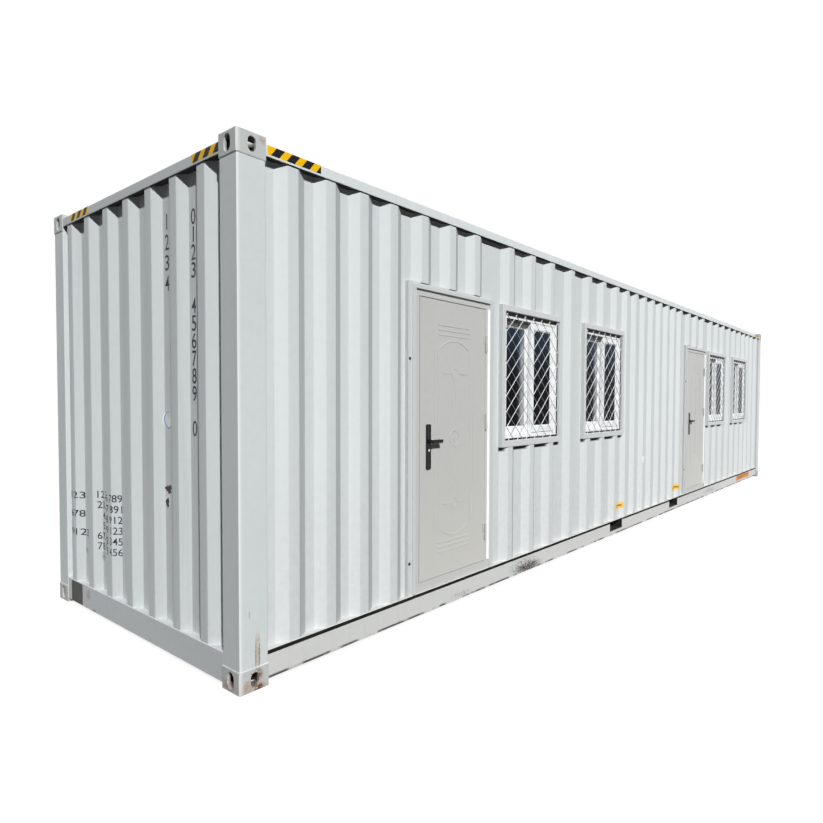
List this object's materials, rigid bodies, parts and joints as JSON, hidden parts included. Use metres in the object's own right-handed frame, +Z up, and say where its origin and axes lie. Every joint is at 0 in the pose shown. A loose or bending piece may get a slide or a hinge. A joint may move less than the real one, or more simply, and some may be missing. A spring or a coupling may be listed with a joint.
{
  "type": "shipping container cabin",
  "caption": "Long corrugated steel container cabin with corner castings, hinged outward doors with lever handles, framed sliding windows and forklift pockets.",
  "frame": {"origin": "middle of the four bottom corner castings' slots, on the ground under the cabin", "axes": "+X along the length, towards the far end; -Y is the side with the doors and windows; +Z up"},
  "size_m": [12.192, 2.47, 2.896],
  "materials": {
    "cabin_paint": "satin light grey paint on steel",
    "casting_paint": "satin light grey paint on cast steel",
    "frame_paint": "satin light grey paint on steel",
    "door_paint": "satin warm grey paint on pressed steel",
    "hinge_steel": "dull steel",
    "handle_black": "semi-gloss black",
    "window_white": "white window profile",
    "window_glass": "clear glass",
    "floor_board": "plywood deck",
    "underside_paint": "dull dark underbody coating on steel"
  },
  "bodies": {
    "cabin": {"bottom_corner_castings": "casting_paint", "top_corner_castings": "casting_paint", "corner_posts": "cabin_paint", "bottom_side_rails": "cabin_paint", "top_side_rails": "cabin_paint", "bottom_end_rails": "cabin_paint", "top_end_rails": "cabin_paint", "left_end_wall": "cabin_paint", "right_end_wall": "cabin_paint", "back_wall": "cabin_paint", "front_wall_left": "cabin_paint", "front_wall_over_door_1": "cabin_paint", "front_wall_middle": "cabin_paint", "front_wall_over_door_2": "cabin_paint", "front_wall_right": "cabin_paint", "roof_panel": "cabin_paint", "floor_cross_members": "underside_paint", "forklift_pocket_mouths": "cabin_paint", "forklift_pocket_sides": "underside_paint", "forklift_pocket_plates": "underside_paint", "floor_deck": "floor_board", "door_1_frame": "frame_paint", "door_1_fixed_hinges": "hinge_steel", "door_2_frame": "frame_paint", "door_2_fixed_hinges": "hinge_steel", "window_1_steel_frame": "frame_paint", "window_1_sliding_unit": "window_white", "window_1_glass": "window_glass", "window_2_steel_frame": "frame_paint", "window_2_sliding_unit": "window_white", "window_2_glass": "window_glass", "window_3_steel_frame": "frame_paint", "window_3_sliding_unit": "window_white", "window_3_glass": "window_glass", "window_4_steel_frame": "frame_paint", "window_4_sliding_unit": "window_white", "window_4_glass": "window_glass"},
    "door_1": {"door_1_leaf": "door_paint", "door_1_moving_hinges": "hinge_steel", "door_1_lock_plates": "handle_black"},
    "door_1_lever": {"door_1_lever": "handle_black"},
    "door_2": {"door_2_leaf": "door_paint", "door_2_moving_hinges": "hinge_steel", "door_2_lock_plates": "handle_black"},
    "door_2_lever": {"door_2_lever": "handle_black"}
  },
  "joints": [
    {"name": "door_1_swing", "type": "hinge", "parent": "cabin", "child": "door_1", "pos_m": [-3.8555, -1.208, 1.25], "axis": [0, 0, 1], "range_deg": [0, 100]},
    {"name": "door_1_lever_turn", "type": "hinge", "parent": "door_1", "child": "door_1_lever", "pos_m": [-4.562, -1.199, 1.24], "axis": [0, 1, 0], "range_deg": [0, 45], "stiffness_Nm_per_rad": 1.6, "springref_deg": -51.57},
    {"name": "door_2_swing", "type": "hinge", "parent": "cabin", "child": "door_2", "pos_m": [2.1445, -1.208, 1.25], "axis": [0, 0, 1], "range_deg": [0, 100]},
    {"name": "door_2_lever_turn", "type": "hinge", "parent": "door_2", "child": "door_2_lever", "pos_m": [1.438, -1.199, 1.24], "axis": [0, 1, 0], "range_deg": [0, 45], "stiffness_Nm_per_rad": 1.6, "springref_deg": -51.57}
  ]
}
